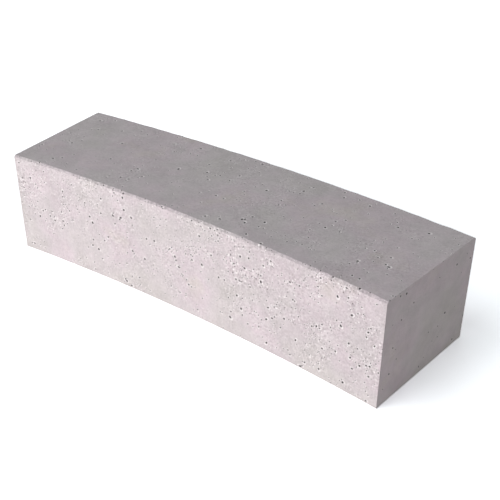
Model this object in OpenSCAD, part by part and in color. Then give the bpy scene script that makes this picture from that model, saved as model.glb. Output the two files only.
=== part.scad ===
// Curved concrete seating block: one casting, bent in plan so that a row of them makes a ring or an arc.
// The concave face looks along -Y, the seat is the flat top, and both ends lie on radii of the ring.
// Origin: centre of the bounding box at ground level, +X along the block, +Z up.

/* [Block] */
// Height of the seat above the ground
seat_height = 400; // [300:5:600]
// Depth of the seat, from the concave face to the convex face along a radius
seat_depth = 500; // [300:5:800]

/* [Ring] */
// Radius of the concave face in plan
inner_radius = 8500; // [3000:50:20000]
// Length of the concave face, straight across from end to end
inner_chord = 1600; // [800:10:2400]

/* [Edges] */
// Leg of the 45 degree chamfer on the top edge of the concave face
front_chamfer = 7; // [1:0.5:30]
// Leg of the 45 degree chamfer on the top edge of the convex face
back_chamfer = 7; // [1:0.5:30]

/* [Hidden] */

concrete_colour = "#c3babc";

outer_radius = inner_radius + seat_depth;
half_angle = asin(inner_chord / 2 / inner_radius);

// Flat steps drawn along the block: an even number, so that one ends on the middle of the arc
finest_turn_steps = 256;
block_steps = max(2, 2 * floor(half_angle * finest_turn_steps / 360));
turn_steps = floor(block_steps * 360 / (2 * half_angle));

// Nearest and furthest points of the block from the ring's centre, along Y
near_y = inner_radius * cos(half_angle);
far_y = outer_radius;

// Upright section on a radius: X is the distance from the ring's centre, Y is the height
module block_section() {
    polygon([
        [inner_radius, 0],
        [outer_radius, 0],
        [outer_radius, seat_height - back_chamfer],
        [outer_radius - back_chamfer, seat_height],
        [inner_radius + front_chamfer, seat_height],
        [inner_radius, seat_height - front_chamfer],
    ]);
}

// The section turned about the ring's centre, with its middle radius along +Y
module ring_segment() {
    rotate([0, 0, 90 - half_angle])
        rotate_extrude(angle = 2 * half_angle, $fn = turn_steps)
            block_section();
}

module seating_block() {
    color(concrete_colour)
        translate([0, -(near_y + far_y) / 2, 0])
            ring_segment();
}

seating_block();
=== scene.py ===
import math

import bmesh
import bpy
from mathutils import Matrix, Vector


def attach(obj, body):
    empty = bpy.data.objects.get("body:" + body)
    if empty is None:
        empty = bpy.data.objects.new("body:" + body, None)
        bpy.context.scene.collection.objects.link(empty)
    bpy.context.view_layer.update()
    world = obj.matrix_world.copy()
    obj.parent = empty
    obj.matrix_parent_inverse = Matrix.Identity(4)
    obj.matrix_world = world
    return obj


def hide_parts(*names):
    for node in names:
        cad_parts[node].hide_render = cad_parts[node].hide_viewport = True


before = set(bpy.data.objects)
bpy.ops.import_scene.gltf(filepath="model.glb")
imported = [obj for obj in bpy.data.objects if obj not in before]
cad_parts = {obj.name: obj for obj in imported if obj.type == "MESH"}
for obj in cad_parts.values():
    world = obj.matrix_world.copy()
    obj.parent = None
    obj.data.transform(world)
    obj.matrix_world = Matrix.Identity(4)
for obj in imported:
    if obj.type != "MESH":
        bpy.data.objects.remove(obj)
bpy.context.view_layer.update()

noiseMiddle, noiseReach = 0.5, 0.25  # a noise's mean level, and how far it mostly swings


def hexToLinear(code):  # by the sRGB curve
    shares = [int(code[i:i + 2], 16) / 255 for i in (1, 3, 5)]
    return [s / 12.92 if s <= 0.04045 else ((s + 0.055) / 1.055) ** 2.4 for s in shares] + [1.0]


# An input is a plain value, a socket to link, or a node, which gives its first output
def addNode(tree, kind, settings=None, inputs=None):
    node = tree.nodes.new(kind)
    for name, value in (settings or {}).items():
        setattr(node, name, value)
    for key, value in (inputs or {}).items():
        if isinstance(value, bpy.types.Node):
            value = value.outputs[0]
        if isinstance(value, bpy.types.NodeSocket):
            tree.links.new(value, node.inputs[key])
        else:
            node.inputs[key].default_value = value
    return node


def newTree(name, sizes):  # geometry in and out, with one named input for each size
    tree = bpy.data.node_groups.new(name, "GeometryNodeTree")
    tree.interface.new_socket("Geometry", in_out="INPUT", socket_type="NodeSocketGeometry")
    for label, value in sizes.items():
        kind = "NodeSocketFloat"
        if isinstance(value, bpy.types.Material):
            kind = "NodeSocketMaterial"
        elif isinstance(value, int):
            kind = "NodeSocketInt"
        tree.interface.new_socket(label, in_out="INPUT", socket_type=kind)
    tree.interface.new_socket("Geometry", in_out="OUTPUT", socket_type="NodeSocketGeometry")
    return tree


def useTree(owner, tree, sizes):
    modifier = owner.modifiers.new(tree.name, "NODES")
    modifier.node_group = tree
    for item in tree.interface.items_tree:
        if item.in_out == "INPUT" and item.name in sizes:
            modifier[item.identifier] = sizes[item.name]


# The block's sizes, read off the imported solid: both ends of its right base edge lie on one radius
def measureBlock(solid):
    onBase, onArc = 1e-4, 1e-3  # metres: how near a corner counts as on them
    points = [vertex.co.copy() for vertex in solid.data.vertices]
    height = max(point.z for point in points)
    baseRight = [point for point in points if point.z < onBase and point.x > 0]
    inner = min(baseRight, key=lambda point: point.y)
    outer = max(baseRight, key=lambda point: point.x)
    halfAngle = math.atan2(outer.x - inner.x, outer.y - inner.y)
    innerRadius = inner.x / math.sin(halfAngle)
    centreY = inner.y - innerRadius * math.cos(halfAngle)
    depth = (outer - inner).length
    corners = [(math.hypot(point.x, point.y - centreY), point.z) for point in points]
    frontTop = max(z for radius, z in corners if abs(radius - innerRadius) < onArc)
    backTop = max(z for radius, z in corners if abs(radius - innerRadius - depth) < onArc)
    return {
        "Height": height,
        "Depth": depth,
        "Inner Radius": innerRadius,
        "Half Angle": halfAngle,
        "Centre Y": centreY,
        "Front Chamfer": height - frontTop,
        "Back Chamfer": height - backTop,
    }


blockSizes = measureBlock(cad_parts["seating_block"])
blockSizes["Steps"] = 96  # panels along the arc, about 17 mm each: too short to show as flats
blockSizes["Rows Deep"] = 22
blockSizes["Rows High"] = 18
blockSizes["Arris Waves per Metre"] = 14.0
blockSizes["Arris Wander"] = 0.32  # share of the chamfer's leg, either way
print("block measured", {name: round(value, 4) for name, value in blockSizes.items()})


# Each edge of a chamfer wanders along the block, as a cast arris does, on a noise track of its own
def wanderingLegs(tree, size, length):
    legs = {}
    for side in ("Front", "Back"):
        leg = size[side + " Chamfer"]
        for face in ("Top", "Face"):
            track = float(len(legs))
            wave = addNode(tree, "ShaderNodeTexNoise", {"noise_dimensions": "2D"}, {
                "Vector": addNode(tree, "ShaderNodeCombineXYZ", inputs={"X": length, "Y": track}),
                "Scale": size["Arris Waves per Metre"], "Detail": 2.0, "Roughness": 0.7})
            swing = addNode(tree, "ShaderNodeMapRange", {"clamp": False}, {
                "Value": wave, "From Min": noiseMiddle, "From Max": noiseMiddle + noiseReach,
                "To Max": size["Arris Wander"]})
            legs[side, face] = addNode(tree, "ShaderNodeMath", {"operation": "MULTIPLY_ADD"},
                                       {0: leg, 1: swing, 2: leg})
    return legs


# A straight bar of small panels, 1 by 1 by 1, gets its sizes and its cut top edges and is bent round
# the ring's centre
def curvedBlockTree(sizes):
    tree = newTree("curvedBlock", sizes)
    size = addNode(tree, "NodeGroupInput").outputs
    bar = addNode(tree, "GeometryNodeMeshCube", inputs={"Size": (1.0, 1.0, 1.0)})
    for axis, rows in (("X", "Steps"), ("Y", "Rows Deep"), ("Z", "Rows High")):
        count = addNode(tree, "ShaderNodeMath", {"operation": "ADD"}, {0: size[rows], 1: 1.0})
        tree.links.new(count.outputs[0], bar.inputs["Vertices " + axis])
    place = addNode(tree, "GeometryNodeInputPosition")
    unit = addNode(tree, "ShaderNodeSeparateXYZ", inputs={0: place}).outputs
    halfDepth = addNode(tree, "ShaderNodeMath", {"operation": "MULTIPLY"}, {0: size["Depth"], 1: 0.5})
    middle = addNode(tree, "ShaderNodeMath", {"operation": "ADD"}, {0: size["Inner Radius"], 1: halfDepth})
    fullAngle = addNode(tree, "ShaderNodeMath", {"operation": "MULTIPLY"}, {0: size["Half Angle"], 1: 2.0})
    angle = addNode(tree, "ShaderNodeMath", {"operation": "MULTIPLY"}, {0: unit["X"], 1: fullAngle})
    length = addNode(tree, "ShaderNodeMath", {"operation": "MULTIPLY"}, {0: angle, 1: middle})
    legs = wanderingLegs(tree, size, length)

    # The rows beside the front and back edges move to the inner edges of the chamfers
    frontRow = addNode(tree, "ShaderNodeMath", {"operation": "SUBTRACT"},
                       {0: legs["Front", "Top"], 1: halfDepth})
    backRow = addNode(tree, "ShaderNodeMath", {"operation": "SUBTRACT"},
                      {0: halfDepth, 1: legs["Back", "Top"]})
    rowShare = addNode(tree, "ShaderNodeMath", {"operation": "DIVIDE"}, {0: 1.0, 1: size["Rows Deep"]})
    lastRow = addNode(tree, "ShaderNodeMath", {"operation": "SUBTRACT"}, {0: 0.5, 1: rowShare})
    firstRow = addNode(tree, "ShaderNodeMath", {"operation": "MULTIPLY"}, {0: lastRow, 1: -1.0})
    across = addNode(tree, "ShaderNodeMapRange", inputs={
        "Value": unit["Y"], "From Min": firstRow, "From Max": lastRow,
        "To Min": frontRow, "To Max": backRow})

    # The rows on the front and back faces stay there, and end below the chamfers
    outerRow = 0.4999  # just short of the bar's faces, at a half
    onFace = addNode(tree, "ShaderNodeMath", {"operation": "MULTIPLY"}, {0: unit["Y"], 1: size["Depth"]})
    top = size["Height"]
    for side, sign in (("Front", -1.0), ("Back", 1.0)):
        toSide = addNode(tree, "ShaderNodeMath", {"operation": "MULTIPLY"}, {0: unit["Y"], 1: sign})
        isSide = addNode(tree, "ShaderNodeMath", {"operation": "GREATER_THAN"}, {0: toSide, 1: outerRow})
        lowered = addNode(tree, "ShaderNodeMath", {"operation": "SUBTRACT"},
                          {0: size["Height"], 1: legs[side, "Face"]})
        across = addNode(tree, "ShaderNodeMix", {"data_type": "FLOAT"}, {0: isSide, 2: across, 3: onFace})
        top = addNode(tree, "ShaderNodeMix", {"data_type": "FLOAT"}, {0: isSide, 2: top, 3: lowered})
    upShare = addNode(tree, "ShaderNodeMath", {"operation": "ADD"}, {0: unit["Z"], 1: 0.5})
    raised = addNode(tree, "ShaderNodeMath", {"operation": "MULTIPLY"}, {0: upShare, 1: top})

    radius = addNode(tree, "ShaderNodeMath", {"operation": "ADD"}, {0: across, 1: middle})
    sine = addNode(tree, "ShaderNodeMath", {"operation": "SINE"}, {0: angle})
    cosine = addNode(tree, "ShaderNodeMath", {"operation": "COSINE"}, {0: angle})
    bentX = addNode(tree, "ShaderNodeMath", {"operation": "MULTIPLY"}, {0: radius, 1: sine})
    bentY = addNode(tree, "ShaderNodeMath", {"operation": "MULTIPLY_ADD"},
                    {0: radius, 1: cosine, 2: size["Centre Y"]})
    bent = addNode(tree, "ShaderNodeCombineXYZ", inputs={"X": bentX, "Y": bentY, "Z": raised})
    block = addNode(tree, "GeometryNodeSetPosition", inputs={"Geometry": bar, "Position": bent})
    addNode(tree, "NodeGroupOutput", inputs={0: block})
    return tree


# Open patches of the skin, where pores and bared sand crowd together, and more so higher up,
# because air rises while the mould fills
openSkin = {
    "seed": 59.25,
    "patchesPerMetre": 11.0,
    "patchLevels": (0.41, 0.64),  # noise levels from dense to open
    "driftsPerMetre": 2.4,  # the broad drift among the patches
    "driftLevels": (0.30, 0.58),
    "airRise": (0.68, 1.48),  # openness at the foot and at the top
}


def addOpenness(tree, here, patchScale, driftScale, densest, openest):
    layers = []
    for scale, levels in ((patchScale, openSkin["patchLevels"]), (driftScale, openSkin["driftLevels"])):
        noise = addNode(tree, "ShaderNodeTexNoise", {"noise_dimensions": "4D"}, {
            "Vector": here, "W": openSkin["seed"], "Scale": scale, "Detail": 2.0, "Roughness": 0.55})
        layers.append(addNode(tree, "ShaderNodeMapRange", inputs={
            "Value": noise, "From Min": levels[0], "From Max": levels[1]}))
    patches = addNode(tree, "ShaderNodeMath", {"operation": "MULTIPLY"}, {0: layers[0], 1: layers[1]})
    openness = addNode(tree, "ShaderNodeMapRange", inputs={
        "Value": patches, "To Min": densest, "To Max": openest})
    up = addNode(tree, "ShaderNodeSeparateXYZ", inputs={0: here}).outputs["Z"]
    rise = addNode(tree, "ShaderNodeMapRange", inputs={
        "Value": up, "From Max": blockSizes["Height"],
        "To Min": openSkin["airRise"][0], "To Max": openSkin["airRise"][1]})
    return addNode(tree, "ShaderNodeMath", {"operation": "MULTIPLY"}, {0: openness, 1: rise})


# Cast concrete with a faint pink cast, washed lightly after stripping: matte cement paste, clouded where
# it dried unevenly, with pale and dark sand bared in patches, and the dark mouths of air pores, which are
# painted shade with some dirt.
# Sizes and depths are metres, levels are those of a noise.
concreteLook = {
    "paste": ("#d0cbca", "#d4cdcf", "#d8cdd2", "#d7cfcd"),  # grey, plain, pink and warm clouds
    "pasteLevels": (0.34, 0.46, 0.56, 0.66),
    "cloudSize": 0.240,
    "cloudSeed": 61.2,
    "footGrey": (0.15, 0.12),  # how high up, and how far the clouds turn grey at the very foot
    "mottleSize": 0.090,
    "mottleSeed": 0.0,
    "mottleSwing": 0.11,  # share of the tone, either way
    "shadedWornArris": (0.70, 1.02),  # tones of the edges: painted shade, made uneven as if rubbed
    "wearSize": 0.016,
    "wearLevels": (0.35, 0.65),
    "arrisFacing": (0.85, 0.97),  # most of the normal along any axis: on an edge, on a face
    "sandSize": 0.0075,  # sand is 1 to 2 mm: drawn coarser, so that it shows
    # pale sand; also the colour of the pits' pale lips, which are partly a painted highlight
    "paleSand": "#f6f1f2",
    "paleSandShare": 0.66,
    "paleSandLevels": (0.52, 0.68),
    "darkSand": "#8f8586",
    "darkSandShare": 0.50,
    "darkSandLevels": (0.47, 0.30),
    "sandInSkin": (0.38, 1.1),  # share bared where the skin is dense, and where it is open
    "sandOnTop": 0.48,  # share of the sand that shows, against the front and back
    "sandOnEnds": 0.20,
    "endFacing": (0.2, 0.9),  # share of the normal across the block: on an end, on a long face
    "sandRelief": 0.0010,
    "grainSpacing": 0.0100,
    "grainWidest": 0.44,  # radius, as a share of the spacing
    "pinholeSpacing": 0.009,
    "pinholeWidest": 0.32,
    "emptyCells": 0.35,  # share of the places with no grain or pinhole
    "speckEdge": 0.06,  # how softly a grain or pinhole ends, as a share of the spacing
    # the dark of the pores: painted shade with some dirt, in the pinholes and in the hollows of the pits
    "poreShade": "#4a4344",
    # pale lips, partly a painted highlight, and dark hollows of painted shade, set in by depth below the
    # face
    "lipDepth": (0.00002, 0.00006),  # below the face, from none to full
    "hollowDepth": (0.00014, 0.0006),
    "cover": 0.95,  # how far a grain, pinhole, lip or hollow hides the paste
    "roughness": 0.88,
    "roughnessSwing": 0.08,
    "ior": 1.5,
}


def cloudedPaste(tree, look, here):
    clouds = addNode(tree, "ShaderNodeTexNoise", {"noise_dimensions": "4D"}, {
        "Vector": here, "W": look["cloudSeed"], "Scale": 1 / look["cloudSize"],
        "Detail": 3.0, "Roughness": 0.55})
    up = addNode(tree, "ShaderNodeSeparateXYZ", inputs={0: here}).outputs["Z"]
    foot = addNode(tree, "ShaderNodeMapRange", inputs={
        "Value": up, "From Max": look["footGrey"][0], "To Min": look["footGrey"][1], "To Max": 0.0})
    greyed = addNode(tree, "ShaderNodeMath", {"operation": "SUBTRACT"}, {0: clouds, 1: foot})
    paste = addNode(tree, "ShaderNodeValToRGB", inputs={"Fac": greyed})
    stops = paste.color_ramp.elements
    stops[0].position = look["pasteLevels"][0]
    stops[1].position = look["pasteLevels"][-1]
    for level in look["pasteLevels"][1:-1]:
        stops.new(level)
    for stop, code in zip(stops, look["paste"]):
        stop.color = hexToLinear(code)
    return paste


# A tone of 1 on the faces, and painted shade along the arrises and on the pits' sloping walls, where no
# axis meets the surface squarely, made uneven as by wear
def shadedRubbedTone(tree, look, here, facing):
    squarest = addNode(tree, "ShaderNodeMath", {"operation": "MAXIMUM"}, {0: facing["X"], 1: facing["Y"]})
    squarest = addNode(tree, "ShaderNodeMath", {"operation": "MAXIMUM"}, {0: squarest, 1: facing["Z"]})
    wear = addNode(tree, "ShaderNodeTexNoise", inputs={
        "Vector": here, "Scale": 1 / look["wearSize"], "Detail": 2.0, "Roughness": 0.6})
    shadedWorn = addNode(tree, "ShaderNodeMapRange", inputs={
        "Value": wear, "From Min": look["wearLevels"][0], "From Max": look["wearLevels"][1],
        "To Min": look["shadedWornArris"][0], "To Max": look["shadedWornArris"][1]})
    return addNode(tree, "ShaderNodeMapRange", inputs={
        "Value": squarest, "From Min": look["arrisFacing"][0], "From Max": look["arrisFacing"][1],
        "To Min": shadedWorn, "To Max": 1.0})


# Each layer is how far it shows, and its colour
def sandLayers(tree, look, sand, bared):
    layers = []
    for kind in ("paleSand", "darkSand"):
        start, full = look[kind + "Levels"]
        grains = addNode(tree, "ShaderNodeMapRange", inputs={
            "Value": sand, "From Min": start, "From Max": full, "To Max": look[kind + "Share"]})
        shown = addNode(tree, "ShaderNodeMath", {"operation": "MULTIPLY"}, {0: grains, 1: bared})
        layers.append((shown, look[kind]))
    return layers


# Single pale grains and pinholes: one to a cell, and wider where the skin is open. The pinholes are painted
# shade: dark spots for pores too small to cut.
def speckLayers(tree, look, here, bared):
    layers = []
    for kind, code in (("grain", look["paleSand"]), ("pinhole", look["poreShade"])):
        cells = addNode(tree, "ShaderNodeTexVoronoi", {"feature": "F1"}, {
            "Vector": here, "Scale": 1 / look[kind + "Spacing"]}).outputs
        luck = addNode(tree, "ShaderNodeSeparateColor", inputs={0: cells["Color"]})
        reach = addNode(tree, "ShaderNodeMapRange", inputs={
            "Value": luck, "From Min": look["emptyCells"], "From Max": 1.0,
            "To Max": look[kind + "Widest"]})
        opened = addNode(tree, "ShaderNodeMath", {"operation": "MULTIPLY"}, {0: reach, 1: bared})
        inside = addNode(tree, "ShaderNodeMath", {"operation": "SUBTRACT"},
                         {0: opened, 1: cells["Distance"]})
        shown = addNode(tree, "ShaderNodeMapRange", inputs={
            "Value": inside, "From Min": 0.0, "From Max": look["speckEdge"], "To Max": look["cover"]})
        layers.append((shown, code))
    return layers


# Pale lips where the skin is lost beside a pore, carrying a painted highlight, and dark hollows of painted
# shade with some dirt, both by depth below the face
def poreLayers(tree, look, offEnds):
    depth = addNode(tree, "ShaderNodeAttribute", {"attribute_name": "poreDepth"}).outputs["Fac"]
    lips = addNode(tree, "ShaderNodeMapRange", inputs={
        "Value": depth, "From Min": look["lipDepth"][0], "From Max": look["lipDepth"][1],
        "To Max": look["cover"]})
    paleLipsAndHighlight = addNode(tree, "ShaderNodeMath", {"operation": "MULTIPLY"}, {0: lips, 1: offEnds})
    paintedHollowShade = addNode(tree, "ShaderNodeMapRange", inputs={
        "Value": depth, "From Min": look["hollowDepth"][0], "From Max": look["hollowDepth"][1],
        "To Max": look["cover"]})
    return [(paleLipsAndHighlight, look["paleSand"]), (paintedHollowShade, look["poreShade"])]


def castConcrete(look):
    material = bpy.data.materials.new("castConcreteWashed")
    material.use_nodes = True
    tree = material.node_tree
    coords = addNode(tree, "ShaderNodeTexCoord").outputs
    here = coords["Object"]
    sides = addNode(tree, "ShaderNodeVectorMath", {"operation": "ABSOLUTE"}, {0: coords["Normal"]})
    facing = addNode(tree, "ShaderNodeSeparateXYZ", inputs={0: sides}).outputs

    mottle = addNode(tree, "ShaderNodeTexNoise", {"noise_dimensions": "4D"}, {
        "Vector": here, "W": look["mottleSeed"], "Scale": 1 / look["mottleSize"],
        "Detail": 2.0, "Roughness": 0.8})
    mottleTone = addNode(tree, "ShaderNodeMapRange", inputs={
        "Value": mottle, "From Min": noiseMiddle - noiseReach, "From Max": noiseMiddle + noiseReach,
        "To Min": 1 - look["mottleSwing"], "To Max": 1 + look["mottleSwing"]})
    tone = addNode(tree, "ShaderNodeMath", {"operation": "MULTIPLY"},
                   {0: mottleTone, 1: shadedRubbedTone(tree, look, here, facing)})
    toned = addNode(tree, "ShaderNodeVectorMath", {"operation": "SCALE"},
                    {0: cloudedPaste(tree, look, here), "Scale": tone})

    # How far the wash bared the sand: most on the front and back, less on the top and the ends
    openness = addOpenness(tree, here, openSkin["patchesPerMetre"], openSkin["driftsPerMetre"],
                           *look["sandInSkin"])
    upright = addNode(tree, "ShaderNodeMapRange", inputs={
        "Value": facing["Y"], "From Min": look["endFacing"][0], "From Max": look["endFacing"][1],
        "To Min": look["sandOnEnds"], "To Max": 1.0})
    level = addNode(tree, "ShaderNodeMath", {"operation": "MULTIPLY"},
                    {0: facing["Z"], 1: look["sandOnTop"]})
    washed = addNode(tree, "ShaderNodeMath", {"operation": "MAXIMUM"}, {0: upright, 1: level})
    bared = addNode(tree, "ShaderNodeMath", {"operation": "MULTIPLY"}, {0: openness, 1: washed})
    sand = addNode(tree, "ShaderNodeTexNoise", inputs={
        "Vector": here, "Scale": 1 / look["sandSize"], "Detail": 2.0, "Roughness": 0.6, "Distortion": 0.6})
    offEnds = addNode(tree, "ShaderNodeMath", {"operation": "MAXIMUM"}, {0: upright, 1: facing["Z"]})

    layers = sandLayers(tree, look, sand, bared)
    layers += speckLayers(tree, look, here, bared)
    layers += poreLayers(tree, look, offEnds)
    surface = toned.outputs[0]
    for shown, code in layers:
        surface = addNode(tree, "ShaderNodeMix", {"data_type": "RGBA"}, {
            "Factor": shown, 6: surface, 7: hexToLinear(code)}).outputs[2]
    rough = addNode(tree, "ShaderNodeMapRange", inputs={
        "Value": mottle, "To Min": look["roughness"] - look["roughnessSwing"],
        "To Max": look["roughness"] + look["roughnessSwing"]})
    relief = addNode(tree, "ShaderNodeBump", inputs={
        "Strength": bared, "Distance": look["sandRelief"], "Height": sand})

    shader = tree.nodes["Principled BSDF"]
    shader.inputs["IOR"].default_value = look["ior"]
    tree.links.new(surface, shader.inputs["Base Color"])
    tree.links.new(rough.outputs[0], shader.inputs["Roughness"])
    tree.links.new(relief.outputs[0], shader.inputs["Normal"])
    return material


# Air pores are small and many, voids are large and few, chips are knocks along the arrises.
# Sizes are metres, densities are per square metre before thinning, shares thin them face by face,
# and the dense share is what is left where the skin is dense. Lips are in shares of the pit's radius.
surfaceSizes = {
    "Seed": 7,
    "Patches per Metre": openSkin["patchesPerMetre"],
    "Drifts per Metre": openSkin["driftsPerMetre"],
    "Pore Spacing": 0.0070, "Pore Density": 6000.0, "Pore Smallest": 0.0019, "Pore Largest": 0.0040,
    "Pore Front Share": 0.54, "Pore Top Share": 0.18, "Pore End Share": 0.05, "Pore Arris Share": 0.3,
    "Void Spacing": 0.020, "Void Density": 500.0, "Void Smallest": 0.0025, "Void Largest": 0.0042,
    "Void Front Share": 0.36, "Void Top Share": 0.34, "Void End Share": 0.12, "Void Arris Share": 0.25,
    "Chip Spacing": 0.008, "Chip Density": 12000.0, "Chip Smallest": 0.0016, "Chip Largest": 0.0040,
    "Chip Front Share": 0.0, "Chip Top Share": 0.0, "Chip End Share": 0.0, "Chip Arris Share": 0.5,
    "Pore Dense Share": 0.15, "Void Dense Share": 0.15, "Chip Dense Share": 0.35,
    "Lip Flare": 3.0, "Lip Lean": 1.2, "Lip Rise": 0.14, "Lip Depth": 0.08,
    "Concrete": castConcrete(concreteLook),
}
pitShape = {
    "segments": 8,  # few, because there are many pits
    "rings": 4,
    "ragged": 0.9,  # how uneven, in radii
    "raggedScale": 1.4,
    "raggedStep": 3.7,  # from one kind's noise to the next
    "smallness": 3.0,  # the higher, the more pits are small
    "stretch": (0.75, 1.5),
    "sink": (0.75, 1.25),
    "drawSeeds": (11.0, 12.0, 13.0, 14.0),  # for size, stretch, sink and turn
}


# Points are spread evenly over the block, then thinned face by face and patch by patch
def scatterPits(tree, size, kind, surface):
    spread = addNode(tree, "GeometryNodeDistributePointsOnFaces", {"distribute_method": "POISSON"}, {
        "Mesh": surface, "Distance Min": size[kind + " Spacing"], "Density Max": size[kind + " Density"],
        "Seed": size["Seed"]}).outputs
    outward = addNode(tree, "ShaderNodeSeparateXYZ", inputs={0: spread["Normal"]}).outputs
    onFace, onBase = 0.99, -0.5  # shares of the normal: every face lies within 6 degrees of an axis
    share = size[kind + " Arris Share"]
    for axis, face in (("X", "End"), ("Y", "Front"), ("Z", "Top")):
        along = addNode(tree, "ShaderNodeMath", {"operation": "ABSOLUTE"}, {0: outward[axis]})
        isFace = addNode(tree, "ShaderNodeMath", {"operation": "GREATER_THAN"}, {0: along, 1: onFace})
        share = addNode(tree, "ShaderNodeMix", {"data_type": "FLOAT"},
                        {0: isFace, 2: share, 3: size[kind + " " + face + " Share"]})
    isBase = addNode(tree, "ShaderNodeMath", {"operation": "LESS_THAN"}, {0: outward["Z"], 1: onBase})
    share = addNode(tree, "ShaderNodeMix", {"data_type": "FLOAT"}, {0: isBase, 2: share, 3: 0.0})

    here = addNode(tree, "GeometryNodeInputPosition")
    openness = addOpenness(tree, here, size["Patches per Metre"], size["Drifts per Metre"],
                           size[kind + " Dense Share"], 1.0)
    chance = addNode(tree, "ShaderNodeMath", {"operation": "MULTIPLY"}, {0: share, 1: openness})
    luck = addNode(tree, "FunctionNodeRandomValue", {"data_type": "FLOAT"}, {"Seed": size["Seed"]})
    isSpare = addNode(tree, "ShaderNodeMath", {"operation": "GREATER_THAN"},
                      {0: luck.outputs[1], 1: chance})
    kept = addNode(tree, "GeometryNodeDeleteGeometry", {"domain": "POINT"},
                   {"Geometry": spread["Points"], "Selection": isSpare})
    return kept, spread["Rotation"]


# An uneven ball, whose upper half is pressed flat and flares out to one side: the lost skin
def pitCutter(tree, size, variant):
    ball = addNode(tree, "GeometryNodeMeshUVSphere", inputs={
        "Segments": pitShape["segments"], "Rings": pitShape["rings"], "Radius": 1.0})
    rounded = addNode(tree, "GeometryNodeSetShadeSmooth", inputs={"Geometry": ball, "Shade Smooth": True})
    ballPoint = addNode(tree, "GeometryNodeInputPosition")
    ragged = addNode(tree, "ShaderNodeTexNoise", {"noise_dimensions": "4D"}, {
        "Vector": ballPoint, "W": pitShape["raggedStep"] * variant,
        "Scale": pitShape["raggedScale"], "Detail": 1.0})
    centred = addNode(tree, "ShaderNodeVectorMath", {"operation": "SUBTRACT"},
                      {0: ragged.outputs["Color"], 1: (noiseMiddle, noiseMiddle, noiseMiddle)})
    uneven = addNode(tree, "ShaderNodeVectorMath", {"operation": "MULTIPLY_ADD"},
                     {0: centred, 1: (pitShape["ragged"], pitShape["ragged"], 0.0), 2: ballPoint})
    point = addNode(tree, "ShaderNodeSeparateXYZ", inputs={0: uneven}).outputs
    upper = addNode(tree, "ShaderNodeMath", {"operation": "MAXIMUM"}, {0: point["Z"], 1: 0.0})
    lower = addNode(tree, "ShaderNodeMath", {"operation": "MINIMUM"}, {0: point["Z"], 1: 0.0})
    flare = addNode(tree, "ShaderNodeMath", {"operation": "MULTIPLY_ADD"},
                    {0: upper, 1: size["Lip Flare"], 2: 1.0})
    lean = addNode(tree, "ShaderNodeMath", {"operation": "MULTIPLY"}, {0: upper, 1: size["Lip Lean"]})
    rise = addNode(tree, "ShaderNodeMath", {"operation": "MULTIPLY_ADD"},
                   {0: upper, 1: size["Lip Rise"], 2: lower})
    cutX = addNode(tree, "ShaderNodeMath", {"operation": "MULTIPLY_ADD"},
                   {0: point["X"], 1: flare, 2: lean})
    cutY = addNode(tree, "ShaderNodeMath", {"operation": "MULTIPLY"}, {0: point["Y"], 1: flare})
    cutZ = addNode(tree, "ShaderNodeMath", {"operation": "SUBTRACT"}, {0: rise, 1: size["Lip Depth"]})
    place = addNode(tree, "ShaderNodeCombineXYZ", inputs={"X": cutX, "Y": cutY, "Z": cutZ})
    pressed = addNode(tree, "GeometryNodeSetPosition", inputs={"Geometry": rounded, "Position": place})
    return addNode(tree, "GeometryNodeTriangulate", inputs={"Mesh": pressed})  # no bent faces


def addPits(tree, size, kind, variant, surface):
    kept, outwards = scatterPits(tree, size, kind, surface)
    draws = []  # random shares for each pit
    for offset in pitShape["drawSeeds"]:
        drawSeed = addNode(tree, "ShaderNodeMath", {"operation": "ADD"}, {0: size["Seed"], 1: offset})
        drawn = addNode(tree, "FunctionNodeRandomValue", {"data_type": "FLOAT"}, {"Seed": drawSeed})
        draws.append(drawn.outputs[1])
    smaller = addNode(tree, "ShaderNodeMath", {"operation": "POWER"},
                      {0: draws[0], 1: pitShape["smallness"]})
    radius = addNode(tree, "ShaderNodeMapRange", inputs={
        "Value": smaller, "To Min": size[kind + " Smallest"], "To Max": size[kind + " Largest"]})
    stretch = addNode(tree, "ShaderNodeMapRange", inputs={
        "Value": draws[1], "To Min": pitShape["stretch"][0], "To Max": pitShape["stretch"][1]})
    sink = addNode(tree, "ShaderNodeMapRange", inputs={
        "Value": draws[2], "To Min": pitShape["sink"][0], "To Max": pitShape["sink"][1]})
    shape = addNode(tree, "ShaderNodeCombineXYZ", inputs={"X": stretch, "Y": 1.0, "Z": sink})
    scale = addNode(tree, "ShaderNodeVectorMath", {"operation": "SCALE"}, {0: shape, "Scale": radius})
    turn = addNode(tree, "ShaderNodeMath", {"operation": "MULTIPLY"}, {0: draws[3], 1: 2 * math.pi})
    spin = addNode(tree, "FunctionNodeEulerToRotation", inputs={
        0: addNode(tree, "ShaderNodeCombineXYZ", inputs={"Z": turn})})
    turned = addNode(tree, "FunctionNodeRotateRotation", {"rotation_space": "LOCAL"},
                     {0: outwards, 1: spin})
    return addNode(tree, "GeometryNodeInstanceOnPoints", inputs={
        "Points": kept, "Instance": pitCutter(tree, size, variant), "Rotation": turned, "Scale": scale})


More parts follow.
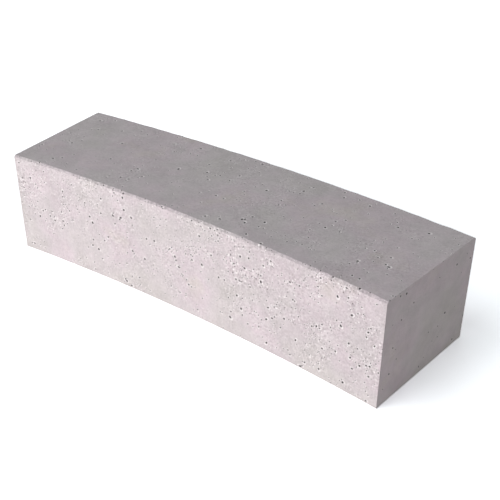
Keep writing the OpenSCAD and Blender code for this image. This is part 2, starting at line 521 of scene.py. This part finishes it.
def castSurfaceTree(sizes):
    tree = newTree("castSurface", sizes)
    size = addNode(tree, "NodeGroupInput").outputs
    panels = addNode(tree, "GeometryNodeTriangulate", inputs={"Mesh": size["Geometry"]})
    sound = addNode(tree, "GeometryNodeSetShadeSmooth", inputs={"Geometry": panels, "Shade Smooth": False})
    pitted = sound
    for variant, kind in enumerate(("Chip", "Void", "Pore")):
        pits = addPits(tree, size, kind, variant, sound)  # instances: overlapping pits cut one by one
        pitted = addNode(tree, "GeometryNodeMeshBoolean", {"operation": "DIFFERENCE", "solver": "MANIFOLD"},
                         {"Mesh 1": pitted, "Mesh 2": pits})
    # How deep each pit's face lies below the sound face: from this the material paints pale lips with a
    # painted highlight, and hollows with painted shade
    below = addNode(tree, "GeometryNodeProximity", {"target_element": "FACES"}, {0: sound})
    isPit = addNode(tree, "GeometryNodeInputShadeSmooth")  # only the pits are smooth
    depth = addNode(tree, "ShaderNodeMath", {"operation": "MULTIPLY"},
                    {0: below.outputs["Distance"], 1: isPit})
    marked = addNode(tree, "GeometryNodeStoreNamedAttribute", {"data_type": "FLOAT", "domain": "CORNER"}, {
        "Geometry": pitted, "Name": "poreDepth", "Value": depth})
    real = addNode(tree, "GeometryNodeRealizeInstances", inputs={"Geometry": marked})
    finished = addNode(tree, "GeometryNodeSetMaterial", inputs={
        "Geometry": real, "Material": size["Concrete"]})
    addNode(tree, "NodeGroupOutput", inputs={0: finished})
    return tree


def clearTwins(mesh):  # the cutting leaves a few pairs of triangles folded flat on each other
    solid = bmesh.new()
    solid.from_mesh(mesh)
    bmesh.ops.triangulate(solid, faces=solid.faces[:])
    byCorners = {}
    for face in solid.faces:
        byCorners.setdefault(frozenset(face.verts), []).append(face)
    twins = [face for faces in byCorners.values() if len(faces) > 1 for face in faces]
    bmesh.ops.delete(solid, geom=twins, context="FACES")
    solid.to_mesh(mesh)
    solid.free()


easedEdges = {"width": 0.0008, "segments": 2, "sharperThan": 30.0}  # metres, and degrees


def makeBlock():
    maker = bpy.data.objects.new("blockMaker", bpy.data.meshes.new("blockMaker"))
    bpy.context.scene.collection.objects.link(maker)
    useTree(maker, curvedBlockTree(blockSizes), blockSizes)
    eased = maker.modifiers.new("easedEdges", "BEVEL")
    eased.width = easedEdges["width"]
    eased.segments = easedEdges["segments"]
    eased.limit_method = "ANGLE"
    eased.angle_limit = math.radians(easedEdges["sharperThan"])
    useTree(maker, castSurfaceTree(surfaceSizes), surfaceSizes)
    mesh = bpy.data.meshes.new_from_object(maker.evaluated_get(bpy.context.evaluated_depsgraph_get()))
    bpy.data.objects.remove(maker)
    mesh.name = "seatingBlock"
    clearTwins(mesh)
    block = bpy.data.objects.new("seatingBlock", mesh)
    bpy.context.scene.collection.objects.link(block)
    return block


block = makeBlock()
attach(block, "root")
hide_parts("seating_block")
print("block cast:", len(block.data.vertices), "points,", len(block.data.polygons), "triangles")


# Plain pale studio: a broad low key on the front, a soft overhead lamp from the left that throws the
# shadow, a weaker low lamp on the back, and a sky that is brightest at the horizon
studio = {
    "skyHorizon": "#d4d3d3",
    "skyZenith": "#464849",
    "skySeen": "#ffffff",
    "floorColour": "#dcd9d8",
    "floorNear": (2.39, 2.47, 2.53),  # as it is seen: over 1, so that the open floor comes out white
    "floorFar": (6.0, 6.0, 6.0),
    "floorFade": (1.0, 8.0),  # metres from the middle, from near to far
    "floorReach": 40.0,
    "aim": (0.0, 0.0, 0.20),
}
lamps = {  # place, width and height, watts, colour
    "softKey": ((-3.80, -8.15, 0.68), (4.8, 1.1), 512.0, "#fffafa"),
    "softOverhead": ((-1.26, -3.41, 7.55), (4.3, 4.3), 148.0, "#fcffff"),
    "softBack": ((-3.20, 8.00, 0.75), (4.8, 1.1), 170.0, "#ffffff"),
}


def seenDirectly(tree):  # 1 for camera, gloss and glass rays
    path = addNode(tree, "ShaderNodeLightPath").outputs
    seen = path["Is Camera Ray"]
    for other in ("Is Glossy Ray", "Is Transmission Ray"):
        seen = addNode(tree, "ShaderNodeMath", {"operation": "MAXIMUM"}, {0: seen, 1: path[other]})
    return seen


def lightSky():
    world = bpy.data.worlds.new("studioSky")
    world.use_nodes = True
    tree = world.node_tree
    way = addNode(tree, "ShaderNodeTexCoord").outputs["Generated"]
    up = addNode(tree, "ShaderNodeSeparateXYZ", inputs={0: way}).outputs["Z"]
    horizon, zenith, seen = [hexToLinear(studio[name]) for name in ("skyHorizon", "skyZenith", "skySeen")]
    sky = addNode(tree, "ShaderNodeMix", {"data_type": "RGBA"}, {"Factor": up, 6: horizon, 7: zenith})
    shown = addNode(tree, "ShaderNodeMix", {"data_type": "RGBA"}, {
        "Factor": seenDirectly(tree), 6: sky.outputs[2], 7: seen})
    tree.links.new(shown.outputs[2], tree.nodes["Background"].inputs["Color"])
    bpy.context.scene.world = world


def layFloor():
    reach = studio["floorReach"]
    corners = [(-reach, -reach, 0), (reach, -reach, 0), (reach, reach, 0), (-reach, reach, 0)]
    mesh = bpy.data.meshes.new("floor")
    mesh.from_pydata(corners, [], [(0, 1, 2, 3)])
    matt = bpy.data.materials.new("paleFloorMatt")
    matt.use_nodes = True
    tree = matt.node_tree
    tree.nodes.remove(tree.nodes["Principled BSDF"])
    here = addNode(tree, "ShaderNodeTexCoord").outputs["Object"]
    away = addNode(tree, "ShaderNodeVectorMath", {"operation": "LENGTH"}, {0: here}).outputs["Value"]
    fade = addNode(tree, "ShaderNodeMapRange", inputs={
        "Value": away, "From Min": studio["floorFade"][0], "From Max": studio["floorFade"][1]})
    seen = addNode(tree, "ShaderNodeMix", {"data_type": "RGBA"}, {
        "Factor": fade, 6: (*studio["floorNear"], 1.0), 7: (*studio["floorFar"], 1.0)})
    tint = addNode(tree, "ShaderNodeMix", {"data_type": "RGBA"}, {
        "Factor": seenDirectly(tree), 6: hexToLinear(studio["floorColour"]), 7: seen.outputs[2]})
    diffuse = addNode(tree, "ShaderNodeBsdfDiffuse", inputs={"Color": tint.outputs[2]})
    tree.links.new(diffuse.outputs[0], tree.nodes["Material Output"].inputs["Surface"])
    mesh.materials.append(matt)
    floor = bpy.data.objects.new("floor", mesh)
    bpy.context.scene.collection.objects.link(floor)


def hangLamps():
    for name, (place, size, watts, colour) in lamps.items():
        lamp = bpy.data.lights.new(name, "AREA")
        lamp.shape = "RECTANGLE"
        lamp.size, lamp.size_y = size
        lamp.energy = watts
        lamp.color = hexToLinear(colour)[:3]
        hung = bpy.data.objects.new(name, lamp)
        hung.location = place
        hung.rotation_euler = (Vector(studio["aim"]) - hung.location).to_track_quat("-Z", "Y").to_euler()
        hung.visible_camera = False
        bpy.context.scene.collection.objects.link(hung)


bpy.context.scene.view_settings.view_transform = "Standard"
lightSky()
layFloor()
hangLamps()
print("studio lit")

# Where the photograph was taken from
viewpoint = {
    "place": (1.6981, -2.1470, 1.8262),
    "turn": (58.469, -0.390, 36.676),  # degrees
    "lens": 62.94,  # millimetres, as the sensor is
    "sensor": 36.0,
}


def placeCamera():
    lens = bpy.data.cameras.new("photoCamera")
    lens.sensor_width = viewpoint["sensor"]
    lens.lens = viewpoint["lens"]
    camera = bpy.data.objects.new("photoCamera", lens)
    camera.location = viewpoint["place"]
    camera.rotation_euler = [math.radians(angle) for angle in viewpoint["turn"]]
    bpy.context.scene.collection.objects.link(camera)
    bpy.context.scene.camera = camera


placeCamera()
print("camera placed")
